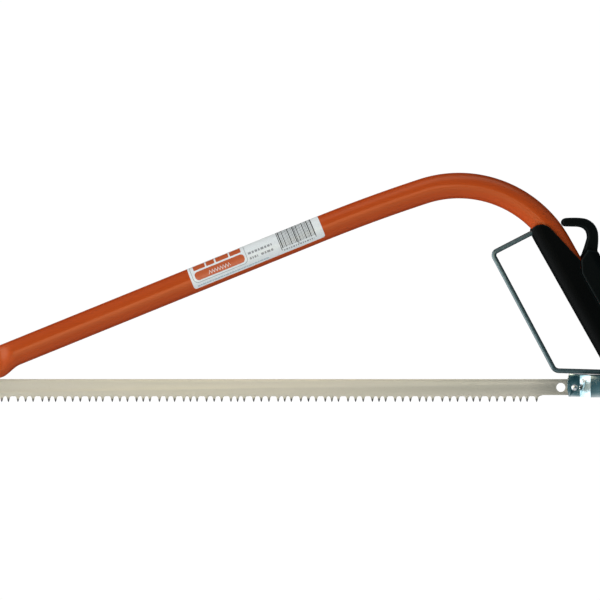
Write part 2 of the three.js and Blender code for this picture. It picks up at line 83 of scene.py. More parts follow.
def on_leg(up, back, y=0.0):
    """A point of the handle: up the rear leg from the lever's pivot, back from the leg's axis and along Y."""
    return pivot - up * leg_down + back * leg_back + Vector((0, y, 0))


# ---------------------------------------------------------------- mesh tools


def new_piece(name, bm, smooth_angle=35.0, placed=True):
    """Makes an object from bm, whose points are in millimetres in the saw's plane."""
    if placed:
        bmesh.ops.transform(bm, matrix=SAW, verts=bm.verts)
    bmesh.ops.recalc_face_normals(bm, faces=bm.faces)
    mesh = bpy.data.meshes.new(name)
    bm.to_mesh(mesh)
    bm.free()
    mesh.shade_smooth()
    mesh.set_sharp_from_angle(angle=math.radians(smooth_angle))
    piece = bpy.data.objects.new(name, mesh)
    bpy.context.scene.collection.objects.link(piece)
    return piece


def apply_modifiers(piece, smooth_angle=None):
    """Turns the piece's modifiers into its mesh."""
    bpy.context.view_layer.update()
    evaluated = piece.evaluated_get(bpy.context.evaluated_depsgraph_get())
    mesh = bpy.data.meshes.new_from_object(evaluated)
    piece.modifiers.clear()
    piece.data = mesh
    if smooth_angle is not None:
        mesh.shade_smooth()
        mesh.set_sharp_from_angle(angle=math.radians(smooth_angle))
    return piece


def add_bevel(piece, width, angle=30.0, segments=3):
    """Rounds the piece's sharp edges; width is in millimetres."""
    bevel = piece.modifiers.new("bevel", "BEVEL")
    bevel.width = width * MM
    bevel.segments = segments
    bevel.limit_method = "ANGLE"
    bevel.angle_limit = math.radians(angle)
    bevel.harden_normals = False
    bevel.miter_outer = "MITER_ARC"
    return piece


def cut(piece, *cutters):
    """Takes the cutters out of the piece and removes them."""
    for cutter in cutters:
        boolean = piece.modifiers.new("cut", "BOOLEAN")
        boolean.operation = "DIFFERENCE"
        boolean.solver = "EXACT"
        boolean.object = cutter
        apply_modifiers(piece)
        bpy.data.objects.remove(cutter)
    return piece


def rings_to_mesh(bm, rings, closed_rings=True, caps=False):
    """Joins rings of points with quads; returns the rings of vertices."""
    made = [[bm.verts.new(point) for point in ring] for ring in rings]
    for low, high in zip(made, made[1:]):
        count = len(low)
        for k in range(count if closed_rings else count - 1):
            after = (k + 1) % count
            bm.faces.new((low[k], low[after], high[after], high[k]))
    if caps:
        bm.faces.new(made[0])
        bm.faces.new(reversed(made[-1]))
    return made


def prism(bm, outline, y_low, y_high):
    """A flat plate with an outline in XZ."""
    low = [bm.verts.new((x, y_low, z)) for x, z in outline]
    high = [bm.verts.new((x, y_high, z)) for x, z in outline]
    bm.faces.new(low)
    bm.faces.new(reversed(high))
    count = len(outline)
    for k in range(count):
        after = (k + 1) % count
        bm.faces.new((low[k], high[k], high[after], low[after]))


def arc(centre, radius, start, end, steps):
    """Points on an arc in a plane, with the angles in degrees."""
    turns = [math.radians(start + (end - start) * k / steps) for k in range(steps + 1)]
    return [(centre[0] + radius * math.cos(t), centre[1] + radius * math.sin(t)) for t in turns]


def turned(bm, profile, centre, axis=Vector((0, 1, 0)), sides=40):
    """A turned piece about an axis through centre; profile is a list of (radius, along) from axis to axis."""
    across = axis.orthogonal().normalized()
    other = axis.cross(across)
    rings = []
    for radius, along in profile:
        middle = Vector(centre) + axis * along
        if radius < 1e-6:
            rings.append([bm.verts.new(middle)])
            continue
        turns = [2 * math.pi * k / sides for k in range(sides)]
        rings.append([
            bm.verts.new(middle + radius * (math.cos(t) * across + math.sin(t) * other)) for t in turns
        ])
    for low, high in zip(rings, rings[1:]):
        for k in range(sides):
            after = (k + 1) % sides
            corners = [low[k % len(low)], low[after % len(low)], high[after % len(high)], high[k % len(high)]]
            distinct = list(dict.fromkeys(corners))
            if len(distinct) > 2:
                bm.faces.new(distinct)


class Route:
    """Straight runs and round bends in the saw's plane, given by its corners and bend radii."""

    def __init__(self, corners, bends):
        self.parts = []
        start = corners[0]
        for k, radius in enumerate(bends):
            into = (corners[k + 1] - corners[k]).normalized()
            out = (corners[k + 2] - corners[k + 1]).normalized()
            turn = into.angle(out)
            reach = radius * math.tan(turn / 2)
            bend_start = corners[k + 1] - into * reach
            self.parts.append(("run", start, into, (bend_start - start).length))
            inward = (out - into * math.cos(turn)).normalized()
            self.parts.append(("bend", bend_start, into, radius * turn, inward, radius))
            start = corners[k + 1] + out * reach
        last = (corners[-1] - start)
        self.parts.append(("run", start, last.normalized(), last.length))
        self.length = sum(part[3] for part in self.parts)

    def at(self, distance):
        """The point and the direction at a distance along the route."""
        for part in self.parts:
            if distance <= part[3] or part is self.parts[-1]:
                break
            distance -= part[3]
        if part[0] == "run":
            return part[1] + part[2] * distance, part[2].copy()
        _, start, into, _, inward, radius = part
        turn = distance / radius
        point = start + into * radius * math.sin(turn) + inward * radius * (1 - math.cos(turn))
        return point, into * math.cos(turn) + inward * math.sin(turn)

    def stations(self, run_step, bend_step):
        """Distances that are close together in the bends and further apart on the runs."""
        places = [0.0]
        begun = 0.0
        for part in self.parts:
            step = run_step if part[0] == "run" else bend_step
            count = max(1, math.ceil(part[3] / step))
            places += [begun + part[3] * k / count for k in range(1, count + 1)]
            begun += part[3]
        return places


def circle_section(radius, sides):
    """Points (y, height) round a circle."""
    turns = [2 * math.pi * k / sides for k in range(sides)]
    return [(radius * math.cos(t), radius * math.sin(t)) for t in turns]


def swept_rings(route, stations, section, shape=None):
    """The section's points at each station; shape(distance, y, height) may press them."""
    rings = []
    for distance in stations:
        point, direction = route.at(distance)
        upward = Vector((-direction.z, 0, direction.x))
        ring = []
        for y, height in section:
            if shape:
                y, height = shape(distance, y, height)
            ring.append(point + Vector((0, y, 0)) + upward * height)
        rings.append(ring)
    return rings


# ---------------------------------------------------------------- materials


class Look:
    """A procedural material: a Principled shader and the nodes that feed it, all in object coordinates."""

    def __init__(self, name, **constants):
        self.material = bpy.data.materials.new(name)
        self.material.use_nodes = True
        self.tree = self.material.node_tree
        self.shader = self.tree.nodes["Principled BSDF"]
        for socket, value in constants.items():
            self.shader.inputs[socket.replace("_", " ")].default_value = value
        self.coords = self.tree.nodes.new("ShaderNodeTexCoord").outputs["Object"]

    def node(self, kind, inputs=(), **settings):
        made = self.tree.nodes.new(kind)
        for key, value in settings.items():
            setattr(made, key, value)
        for key, value in dict(inputs).items():
            if isinstance(value, bpy.types.NodeSocket):
                self.tree.links.new(value, made.inputs[key])
            else:
                made.inputs[key].default_value = value
        return made

    def stretched(self, scale, turn=0.0):
        """Object coordinates scaled along X, Y and Z, after a turn about Y in degrees."""
        turned_coords = self.node(
            "ShaderNodeMapping", {"Vector": self.coords, "Rotation": (0, math.radians(turn), 0)}
        ).outputs[0]
        return self.node("ShaderNodeMapping", {"Vector": turned_coords, "Scale": scale}).outputs[0]

    def noise(self, scale, detail=4.0, coords=None, roughness=0.55):
        return self.node("ShaderNodeTexNoise", {
            "Vector": coords or self.coords, "Scale": scale, "Detail": detail, "Roughness": roughness,
        }).outputs["Fac"]

    def spread(self, value, low, high, to_low=0.0, to_high=1.0):
        return self.node("ShaderNodeMapRange", {
            0: value, 1: low, 2: high, 3: to_low, 4: to_high,
        }, clamp=True).outputs[0]

    def math(self, operation, first, second=0.0):
        return self.node("ShaderNodeMath", {0: first, 1: second}, operation=operation).outputs[0]

    def blend(self, amount, first, second):
        """Mixes two colours."""
        return self.node("ShaderNodeMix", {0: amount, 6: first, 7: second}, data_type="RGBA").outputs[2]

    def edges(self, low=0.505, high=0.56):
        """Where the surface is convex: a worn corner, or an edge painted lighter as a highlight."""
        pointed = self.node("ShaderNodeNewGeometry").outputs["Pointiness"]
        return self.spread(pointed, low, high)

    def feed(self, socket, value):
        self.tree.links.new(value, self.shader.inputs[socket])

    def bump(self, *layers):
        """Stacks bumps; each layer is (height, distance in mm, strength)."""
        normal = None
        for height, distance, strength in layers:
            inputs = {"Height": height, "Distance": distance * MM, "Strength": strength}
            if normal:
                inputs["Normal"] = normal
            normal = self.node("ShaderNodeBump", inputs).outputs[0]
        self.feed("Normal", normal)


def enamel_look():
    """Glossy red-orange enamel with a faint orange peel, dust in the gloss and a few dark specks."""
    look = Look(
        "frame_enamel_look", Coat_Weight=0.2, Coat_Roughness=0.07, IOR=1.45, Specular_Tint=(1, 0.66, 0.28, 1),
    )
    drift = look.noise(22.0, 3.0)
    base = look.blend(drift, (0.40, 0.043, 0.004, 1), (0.46, 0.058, 0.006, 1))
    speck = look.spread(look.noise(900.0, 2.0), 0.72, 0.76)
    base = look.blend(look.math("MULTIPLY", speck, 0.35), base, (0.12, 0.03, 0.012, 1))
    rubbed = look.math("MULTIPLY", look.edges(0.53, 0.62), look.spread(look.noise(160.0), 0.5, 0.62))
    base = look.blend(rubbed, base, (0.30, 0.24, 0.20, 1))
    look.feed("Base Color", base)
    look.feed("Roughness", look.spread(look.noise(70.0, 5.0), 0.3, 0.7, 0.3, 0.42))
    look.bump((look.noise(420.0, 2.0), 0.012, 0.2), (look.noise(60.0, 1.0), 0.05, 0.1))
    return look.material


def plastic_look():
    """Black moulded plastic with a fine spark-eroded grain, its convex edges painted a lighter teal as a
    highlight.
    """
    look = Look("black_plastic_look", IOR=1.42, Specular_IOR_Level=0.05)
    grain = look.noise(1500.0, 2.0, roughness=0.6)
    cells = look.node("ShaderNodeTexVoronoi", {"Vector": look.coords, "Scale": 1300.0}).outputs["Distance"]
    tone = look.blend(look.noise(45.0, 3.0), (0.0003, 0.0006, 0.0007, 1), (0.0008, 0.0013, 0.0014, 1))
    # Painted highlight: the convex edges are made a lighter teal.
    look.feed("Base Color", look.blend(look.edges(), tone, (0.006, 0.0085, 0.009, 1)))
    look.feed("Roughness", look.spread(grain, 0.3, 0.7, 0.44, 0.58))
    look.bump((grain, 0.03, 0.3), (cells, 0.025, 0.2))
    return look.material


def lever_plastic_look():
    """The same plastic, moulded smoother, so that the hook has a sheen."""
    look = Look("lever_plastic_look", IOR=1.46, Specular_IOR_Level=0.08)
    grain = look.noise(1500.0, 2.0)
    tone = look.blend(look.noise(45.0, 3.0), (0.0005, 0.0012, 0.0013, 1), (0.0010, 0.0022, 0.0024, 1))
    # Painted highlight: the convex edges are made a lighter teal.
    look.feed("Base Color", look.blend(look.edges(), tone, (0.006, 0.011, 0.012, 1)))
    look.feed("Roughness", look.spread(grain, 0.3, 0.7, 0.33, 0.45))
    look.bump((grain, 0.04, 0.25), (look.noise(120.0, 2.0), 0.1, 0.1))
    return look.material


def rod_look():
    """A blue-black coated rod: glossy, with drawing marks along it and thin spots here and there."""
    look = Look("guard_rod_look", Metallic=0.55, Coat_Weight=0.35, Coat_Roughness=0.15)
    streaks = look.noise(60.0, 4.0, look.stretched((12.0, 12.0, 1.0), -29.0))
    base = look.blend(streaks, (0.038, 0.070, 0.077, 1), (0.085, 0.135, 0.145, 1))
    worn = look.spread(look.noise(300.0), 0.66, 0.74)
    look.feed("Base Color", look.blend(worn, base, (0.12, 0.14, 0.14, 1)))
    look.feed("Roughness", look.spread(streaks, 0.3, 0.7, 0.2, 0.34))
    look.bump((streaks, 0.03, 0.3), (look.noise(500.0), 0.015, 0.2))
    return look.material


def plated_look():
    """Dark bright-plated sheet: a blue-grey mirror with rolling marks and small pits; its convex edges are
    painted almost white as a highlight.
    """
    look = Look("plated_sheet_look", Metallic=1.0)
    rolled = look.noise(40.0, 5.0, look.stretched((1.0, 6.0, 22.0)))
    cloud = look.noise(85.0, 3.0)
    base = look.blend(cloud, (0.15, 0.26, 0.29, 1), (0.21, 0.33, 0.36, 1))
    base = look.blend(look.spread(rolled, 0.35, 0.75), base, (0.24, 0.36, 0.39, 1))
    # Painted highlight: the convex edges are made nearly white.
    look.feed("Base Color", look.blend(look.edges(0.51, 0.57), base, (0.72, 0.78, 0.80, 1)))
    look.feed("Roughness", look.spread(rolled, 0.3, 0.7, 0.1, 0.18))
    look.bump((rolled, 0.01, 0.2), (look.noise(700.0), 0.006, 0.15))
    return look.material


def bright_look():
    """Bright rivet steel with fine turning marks and a little grey mixed in."""
    look = Look("bright_rivet_look", Metallic=1.0)
    fine = look.noise(900.0, 3.0)
    look.feed("Base Color", look.blend(fine, (0.55, 0.58, 0.62, 1), (0.82, 0.84, 0.86, 1)))
    look.feed("Roughness", look.spread(fine, 0.3, 0.7, 0.2, 0.36))
    look.bump((fine, 0.02, 0.3), (look.noise(150.0), 0.05, 0.15))
    return look.material


def blade_look():
    """Warm grey blade steel: ground along its length, a slow drift of tone, dark hardened tooth tips and
    painted shade towards the clevis.
    """
    look = Look("blade_steel_look", Metallic=0.3)
    ground = look.noise(55.0, 6.0, look.stretched((1.0, 8.0, 60.0)), 0.65)
    drift = look.noise(9.0, 2.0, look.stretched((1.0, 1.0, 4.0)))
    fleck = look.noise(700.0, 3.0)
    base = look.blend(drift, (0.49, 0.465, 0.355, 1), (0.54, 0.49, 0.415, 1))
    base = look.blend(look.spread(ground, 0.3, 0.75, 0.0, 0.45), base, (0.58, 0.55, 0.47, 1))
    base = look.blend(look.spread(fleck, 0.6, 0.78, 0.0, 0.2), base, (0.27, 0.25, 0.2, 1))
    place = look.node("ShaderNodeSeparateXYZ", {"Vector": look.coords}).outputs
    height = look.math("ADD", place["Z"], look.spread(look.noise(260.0), 0.3, 0.7, -0.0005, 0.0005))
    tooth_low = REAR_PIN.z - 10.9 * MM
    tooth_high = REAR_PIN.z - 8.4 * MM
    tips = look.spread(height, tooth_low, tooth_high, 0.97, 0.0)
    base = look.blend(tips, base, (0.04, 0.042, 0.052, 1))
    # Painted shade: the blade darkens towards the clevis, where it runs in under the handle and the guard.
    rear = look.spread(place["X"], REAR_PIN.x - 0.04, REAR_PIN.x - 0.006, 0.0, 0.85)
    base = look.blend(rear, base, (0.22, 0.215, 0.185, 1))
    look.feed("Base Color", base)
    look.feed("Roughness", look.spread(ground, 0.3, 0.7, 0.42, 0.55))
    look.bump((ground, 0.006, 0.2), (fleck, 0.004, 0.15))
    return look.material


def ink_look(name, colour, roughness=0.45):
    """Paper or ink of the label: a faint fibre and uneven ink."""
    look = Look(name, Coat_Weight=0.25, Coat_Roughness=0.2)
    fibre = look.noise(1200.0, 3.0)
    darker = tuple(0.86 * part for part in colour)
    look.feed("Base Color", look.blend(look.spread(fibre, 0.35, 0.7), (*darker, 1), (*colour, 1)))
    look.feed("Roughness", look.spread(look.noise(200.0), 0.3, 0.7, roughness - 0.06, roughness + 0.08))
    look.bump((fibre, 0.004, 0.2), (look.noise(90.0, 2.0), 0.03, 0.12))
    return look.material


LOOKS = {
    "enamel": enamel_look(),
    "plastic": plastic_look(),
    "lever_plastic": lever_plastic_look(),
    "rod": rod_look(),
    "plated": plated_look(),
    "bright": bright_look(),
    "blade": blade_look(),
    "paper": ink_look("label_paper_look", (0.77, 0.80, 0.80)),
    "orange_ink": ink_look("label_orange_look", (0.50, 0.080, 0.010)),
    "grey_ink": ink_look("label_grey_look", (0.27, 0.28, 0.29)),
    "dark_ink": ink_look("label_dark_look", (0.02, 0.02, 0.023)),
    "blue_ink": ink_look("label_strip_look", (0.42, 0.52, 0.57)),
}


def dress(piece, look, body, slot, *nodes):
    """Gives a piece its material and its body, and hides the CAD nodes it stands for; slot is not used."""
    if not piece.data.materials:
        piece.data.materials.append(LOOKS[look])
    else:
        for k in range(len(piece.data.materials)):
            piece.data.materials[k] = LOOKS[look]
    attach(piece, body)
    if nodes:
        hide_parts(*nodes)
    return piece


# ---------------------------------------------------------------- frame tube


def smoothstep(value, low, high):
    t = min(max((value - low) / (high - low), 0.0), 1.0)
    return t * t * (3 - 2 * t)


def pressed(distance, y, height):
    """Presses the tube's first stretch to a flat-sided oval that hangs a little low."""
    if distance >= NOSE_ROUND_START:
        return y, height
    press = 1 - smoothstep(distance, NOSE_FLAT_END, NOSE_ROUND_START)
    radius = math.hypot(y, height)
    inset = TUBE_R - radius
    side = min(max(y / (0.8 * radius), -1.0), 1.0) * (NOSE_HALF - inset)
    low = height / radius * (NOSE_HALF_HEIGHT - inset) - NOSE_DROP
    return y + (side - y) * press, height + (low - height) * press


tube_route = Route([NOSE_TIP, GENTLE_CORNER, TIGHT_CORNER, on_leg(-9, 0)], [GENTLE_R, TIGHT_R])
nose_along = (GENTLE_CORNER - NOSE_TIP).normalized()
nose_up = Vector((-nose_along.z, 0, nose_along.x))


def on_nose(along, up):
    """A point of the nose's side view, as (x, z)."""
    point = NOSE_TIP + nose_along * along + nose_up * up
    return point.x, point.z


def nose_corner_cutter(name, corner_up, radius, side):
    """What is outside a rounded corner of the nose; side is 1 for the upper corner, -1 for the lower one."""
    centre_up = corner_up - side * radius
    rounding = arc((radius, centre_up), radius, side * 90, 180 if side > 0 else -180, 12)
    outline = [(-3, centre_up), (-3, corner_up + side * 3), (radius, corner_up + side * 3), *rounding]
    bm = bmesh.new()
    prism(bm, [on_nose(along, up) for along, up in outline], -20, 20)
    return new_piece(name, bm)


def notch_cutter():
    """The notch in both sides of the nose that holds the blade's front pin, open to the front."""
    pin_x = -BLADE_SPAN / 2
    radius = 2.8
    outline = [
        *arc((pin_x, -1.1), radius, -90, 0, 8), *arc((pin_x, 0), radius, 0, 90, 8),
        (pin_x - 7, 4.1), (pin_x - 30, 4.1), (pin_x - 30, -4.1), (pin_x - 2, -4.1),
    ]
    bm = bmesh.new()
    prism(bm, outline, -20, 20)
    return new_piece("notch_cutter", bm)


def slot_cutter():
    """The slot along the underside of the nose that the blade goes into."""
    bm = bmesh.new()
    prism(bm, [(-290, -30), (-228, -30), (-228, 9), (-290, 9)], -1.2, 1.2)
    return new_piece("slot_cutter", bm)


def make_tube():
    stations = [1.5 * k for k in range(44)]
    stations += [d for d in tube_route.stations(12.0, 2.5) if d > stations[-1] + 1]
    bm = bmesh.new()
    outer = swept_rings(tube_route, stations, circle_section(TUBE_R, 72), pressed)
    inner = swept_rings(tube_route, stations, circle_section(TUBE_R - TUBE_WALL, 72), pressed)
    rings = rings_to_mesh(bm, outer + inner[::-1])
    first, last = rings[0], rings[-1]
    for k in range(len(first)):
        after = (k + 1) % len(first)
        bm.faces.new((last[k], last[after], first[after], first[k]))
    tube = new_piece("frame_tube_enamelled", bm)
    cut(
        tube, slot_cutter(), notch_cutter(),
        nose_corner_cutter("upper_corner", TUBE_R + 0.2, 7.0, 1),
        nose_corner_cutter("lower_corner", -NOSE_DROP - NOSE_HALF_HEIGHT - 0.2, 7.0, -1),
    )
    add_bevel(tube, 0.3, 50, 2)
    apply_modifiers(tube, 40)
    return dress(tube, "enamel", "frame", "frame_enamel", "frame_tube")


make_tube()


# ---------------------------------------------------------------- label

LABEL_START = 227.0
LABEL_LENGTH = 121.5
LABEL_LOW = math.radians(-45)
LABEL_HEIGHT = 29.5
LABEL_R = TUBE_R + 0.1


def rounded_box(u_low, u_high, v_low, v_high, radius, steps=5):
    if radius <= 0:
        return [(u_low, v_low), (u_high, v_low), (u_high, v_high), (u_low, v_high)]
    return [
        *arc((u_high - radius, v_low + radius), radius, -90, 0, steps),
        *arc((u_high - radius, v_high - radius), radius, 0, 90, steps),
        *arc((u_low + radius, v_high - radius), radius, 90, 180, steps),
        *arc((u_low + radius, v_low + radius), radius, 180, 270, steps),
    ]


def wrap(point):
    """Takes a point (along, around, lift) of the flat label to the tube."""
    turn = LABEL_LOW + point.y / LABEL_R
    radius = LABEL_R + point.z
    middle = NOSE_TIP + nose_along * (LABEL_START + point.x)
    return middle + nose_up * radius * math.sin(turn) - Vector((0, radius * math.cos(turn), 0))


def decal(name, look, outlines, lift, thickness=0.02, *nodes):
    """A flat print, laid on the label's flat and wrapped round the tube."""
    bm = bmesh.new()
    for outline in outlines:
        bm.faces.new([bm.verts.new((u, v, lift)) for u, v in outline])
    bmesh.ops.recalc_face_normals(bm, faces=bm.faces)
    for face in bm.faces:
        if face.normal.z < 0:
            face.normal_flip()
    v_cut = 0.7
    while v_cut < LABEL_HEIGHT:
        geometry = bm.verts[:] + bm.edges[:] + bm.faces[:]
        bmesh.ops.bisect_plane(bm, geom=geometry, plane_co=(0, v_cut, 0), plane_no=(0, 1, 0))
        v_cut += 0.7
    bmesh.ops.solidify(bm, geom=bm.faces[:], thickness=thickness)
    for vertex in bm.verts:
        vertex.co = wrap(vertex.co)
    piece = new_piece(name, bm, 50)
    return dress(piece, look, "frame", "label_paper", *nodes)


def bars(u_start, widths_and_gaps, v_low, v_high):
    """Upright bars side by side, from a list of (width, gap)."""
    made = []
    u = u_start
    for width, gap in widths_and_gaps:
        made.append(rounded_box(u, u + width, v_low, v_high, 0))
        u += width + gap
    return made


def dashes(u_start, u_end, v_low, v_high, lengths, gap):
    """A printed line of dashes whose lengths repeat."""
    made = []
    u = u_start
    k = 0
    while u < u_end:
        length = min(lengths[k % len(lengths)], u_end - u)
        made.append(rounded_box(u, u + length, v_low, v_high, 0))
        u += length + gap
        k += 1
    return made


def seen(height):
    """Distance round the label of a height above its lower edge, as seen from the side."""
    turn = math.asin(min(height / LABEL_R + math.sin(LABEL_LOW), 1.0))
    return LABEL_R * (turn - LABEL_LOW)


def make_label():
    sheet = rounded_box(0, LABEL_LENGTH, 0, LABEL_HEIGHT, 2.5)
    decal("label_sheet", "paper", [sheet], 0.0, 0.08, "frame_label")
    decal("label_frame_line", "grey_ink", [rounded_box(1.9, 52.2, seen(4.0), 27.0, 4.5)], 0.02)
    decal("label_frame_field", "paper", [rounded_box(2.3, 51.8, seen(4.4), 26.6, 4.2)], 0.04)
    decal("label_orange_panel", "orange_ink", [rounded_box(4.3, 50.0, seen(5.9), seen(13.3), 3.2)], 0.06)
    decal("label_orange_bars", "orange_ink", [
        rounded_box(5.0, 15.6, seen(14.8), seen(18.6), 0.6),
        rounded_box(17.0, 24.4, seen(14.8), seen(18.6), 0.6),
        rounded_box(25.8, 37.4, seen(14.8), seen(18.6), 0.6),
        rounded_box(38.8, 48.8, seen(14.8), seen(18.6), 0.6),
    ], 0.06)
    # A plain saw-tooth line in the panel.
    zigzag = [(16.7 + 1.25 * k, seen(7.6 + 2.9 * (k % 2))) for k in range(17)]
    band = [(u, v + 0.45) for u, v in zigzag] + [(u, v - 0.45) for u, v in reversed(zigzag)]
    decal("label_zigzag", "paper", [band], 0.08)
    decal("label_print", "grey_ink", [
        *dashes(54.0, 76.0, seen(10.3), seen(12.2), (2.6, 1.8, 2.2, 1.4), 0.9),
        *dashes(54.0, 61.5, seen(5.8), seen(7.7), (1.6, 1.1), 0.8),
        *dashes(64.5, 75.5, seen(5.8), seen(7.7), (2.4, 1.5, 2.9), 0.8),
        *dashes(84.0, 112.0, seen(1.9), seen(3.1), (1.2, 1.6, 0.9), 0.9),
    ], 0.03)
    decal("label_strip", "blue_ink", [
        *dashes(3.5, 70.0, seen(1.1), seen(2.1), (2.4, 1.3, 3.1, 1.8), 0.5),
    ], 0.03)
    # Bar widths and gaps in no meaningful order, between longer bars at both ends and in the middle.
    widths = (1.0, 0.3, 0.3, 0.75, 0.3, 0.3, 0.4, 0.3, 0.9, 0.3, 0.3, 0.45)
    gaps = (0.6, 0.55, 0.7, 0.6, 0.75, 0.65, 0.6)
    code = [(widths[k % len(widths)], gaps[k % len(gaps)]) for k in range(28)]
    guards = [(0.6, 15.2), (0.6, 15.2), (0.6, 0.0)]
    decal("label_bars", "dark_ink", [
        *bars(83.4, code, seen(4.6), 27.5),
        *bars(82.2, guards, seen(2.9), 27.5),
    ], 0.03)


make_label()


# ---------------------------------------------------------------- knuckle guard


def make_guard():
    """A rod bent to three sides of a frame, with flat ends."""
    corners = [Vector((303.4, 0, 13.0)), Vector((248.3, 0, 14.5)), Vector((194.2, 0, 116.1)),
               Vector((233.4, 0, 136.3))]
    route = Route(corners, [6.0, 4.0])
    bm = bmesh.new()
    rings = swept_rings(route, route.stations(6.0, 0.5), circle_section(2.1, 28))
    rings_to_mesh(bm, rings, caps=True)
    guard = new_piece("knuckle_guard_rod", bm, 50)
    return dress(guard, "rod", "frame", "guard_steel", "knuckle_guard")


make_guard()


# ---------------------------------------------------------------- pieces that start from their CAD solid


def cad_copy(name, node):
    piece = bpy.data.objects.new(name, frame["nodes"][node].data.copy())
    piece.data.materials.clear()
    bpy.context.scene.collection.objects.link(piece)
    return piece


def moulded(name, node, voxel, rounds):
    """A moulded skin: the solid remeshed finely and relaxed, so that every corner gets a small radius."""
    piece = cad_copy(name, node)
    remesh = piece.modifiers.new("remesh", "REMESH")
    remesh.mode = "VOXEL"
    remesh.voxel_size = voxel * MM
    relax = piece.modifiers.new("relax", "SMOOTH")
    relax.factor = 0.5
    relax.iterations = rounds
    apply_modifiers(piece, 60)
    return piece


def pressed_sheet(name, node, edge_radius):
    """A piece of sheet steel: clean faces, and a small radius along every edge."""
    piece = cad_copy(name, node)
    bm = bmesh.new()
    bm.from_mesh(piece.data)
    bmesh.ops.remove_doubles(bm, verts=bm.verts, dist=0.002 * MM)
    bmesh.ops.dissolve_limit(bm, angle_limit=math.radians(1.5), verts=bm.verts, edges=bm.edges)
    bm.to_mesh(piece.data)
    bm.free()
    add_bevel(piece, edge_radius, 28, 3)
    apply_modifiers(piece, 32)
    return piece


def close_parting(grip):
    """Brings the front grip's rear edge up to the lever's cover, so that little of the tube shows between."""
    for vertex in grip.data.vertices:
        point = in_saw(vertex.co) - pivot
        up = -point.dot(leg_down)
        back = point.dot(leg_back)
        near = PARTING - 1.2 < back < PARTING + 0.2 and 9 < up < 114
        if near and abs(point.y) > TUBE_R:
            vertex.co += leg_back * (PARTING_LIP * MM * smoothstep(back, PARTING - 1.2, PARTING - 0.4))


PARTING = 3.3
PARTING_LIP = 0.42
front_grip = moulded("front_grip_moulding", "front_grip", 0.55, 4)
close_parting(front_grip)
dress(front_grip, "plastic", "frame", "black_plastic", "front_grip")
lever_grip = moulded("lever_grip_moulding", "lever_grip", 0.55, 4)
dress(lever_grip, "lever_plastic", "lever", "black_plastic", "lever_grip")
clevis = pressed_sheet("blade_clevis_sheet", "blade_clevis", 0.5)
dress(clevis, "plated", "clevis", "plated_steel", "blade_clevis")
lever = pressed_sheet("tension_lever_channel", "tension_lever", 0.3)
dress(lever, "plated", "lever", "plated_steel", "tension_lever")


# ---------------------------------------------------------------- pins, rivets, screws and the tube's plug


def turned_piece(name, look, body, slot, profile, centre, nodes, sides=48, axis=Vector((0, 1, 0))):
    bm = bmesh.new()
    turned(bm, profile, centre, axis, sides)
    bmesh.ops.remove_doubles(bm, verts=bm.verts, dist=0.001)
    return dress(new_piece(name, bm, 28), look, body, slot, *nodes)


def rivet_head(shank, head, y_low, y_high, outward=1):
    """A pan head from y_low to y_high, its rim rounded and its top hammered hollow; along is outward * y."""
    height = y_high - y_low
    rim = min(0.45 * height, 0.7)
    crown = arc((head - rim, y_high - rim - 0.1 * height), rim, 0, 80, 5)
    hollow = [(0.55 * head, y_high), (0.3 * head, y_high - 0.08), (0, y_high - 0.1)]
    profile = [(shank, y_low), (head, y_low), *crown, *hollow]
    return [(radius, outward * along) for radius, along in profile]


def two_headed(shank, head, y_low, y_high):
    """A rivet through both sides, with the same head at each end."""
    near = rivet_head(shank, head, y_low, y_high)
    far = rivet_head(shank, head, y_low, y_high, -1)
    return far[::-1] + near


def socket_head(head, y_low, y_high, outward=1):
    """A screw head with a rounded rim and a flat top, which the driver's slots are cut across."""
    rim = 0.35
    crown = arc((head - rim, y_high - rim), rim, 0, 90, 5)
    profile = [(0, y_low), (head - 0.2, y_low), (head, y_low + 0.2), *crown, (0, y_high)]
    return [(radius, outward * along) for radius, along in profile]


def screw(name, place, node):
    """A handle screw with a rounded head and a cross recess."""
    bm = bmesh.new()
    turned(bm, socket_head(3.2, -1.6, 0.0), Vector(), Vector((0, 1, 0)), 40)
    bmesh.ops.translate(bm, vec=Vector((place.x, 14.5, place.z)), verts=bm.verts)
    piece = new_piece(name, bm, 28)
    for k in range(2):
        slot_bm = bmesh.new()
        bmesh.ops.create_cube(slot_bm, size=1.0)
        bmesh.ops.scale(slot_bm, vec=(3.6, 1.8, 0.8), verts=slot_bm.verts)
        turn = Matrix.Rotation(math.radians(25 + 90 * k), 3, "Y")
        bmesh.ops.rotate(slot_bm, cent=(0, 0, 0), matrix=turn, verts=slot_bm.verts)
        bmesh.ops.translate(slot_bm, vec=Vector((place.x, 14.5, place.z)), verts=slot_bm.verts)
        cut(piece, new_piece(f"{name}_recess_{k}", slot_bm))
    apply_modifiers(piece, 30)
    return dress(piece, "bright", "frame", "bright_steel", node)


turned_piece(
    "lever_pivot_pin_turned", "bright", "frame", "bright_steel",
    [(0, -13.1), (2.6, -13.1), (2.9, -12.8), (2.9, 12.8), (2.6, 13.1), (0, 13.1)], pivot, ["lever_pivot_pin"],
)
for side, node in ((-1, "link_rivet_left"), (1, "link_rivet_right")):
    shank = [(0, side * 11.6), (2.2, side * 11.6), (2.45, side * 11.9)]
    turned_piece(
        f"{node}_domed", "bright", "lever", "bright_steel",
        shank + rivet_head(2.45, 4.5, 15.05, 16.4, side), link, [node],
    )
for up, node in ((98, "lever_grip_rivet_upper"), (44, "lever_grip_rivet_lower")):
    turned_piece(
        f"{node}_domed", "bright", "lever", "bright_steel",
        two_headed(2.0, 3.4, 15.0, 16.0), on_leg(up, 17.5), [node],
    )
dome = [(2.0, 2.25), (2.7, 2.25)] + [
    (2.7 * math.cos(math.radians(9 * k)), 2.35 + 1.25 * math.sin(math.radians(9 * k))) for k in range(1, 10)
] + [(0, 3.6)]
turned_piece(
    "blade_rear_pin_domed", "bright", "clevis", "bright_steel",
    [(radius, -along) for radius, along in reversed(dome)] + dome, Vector((BLADE_SPAN / 2, 0, 0)),
    ["blade_rear_pin"],
)
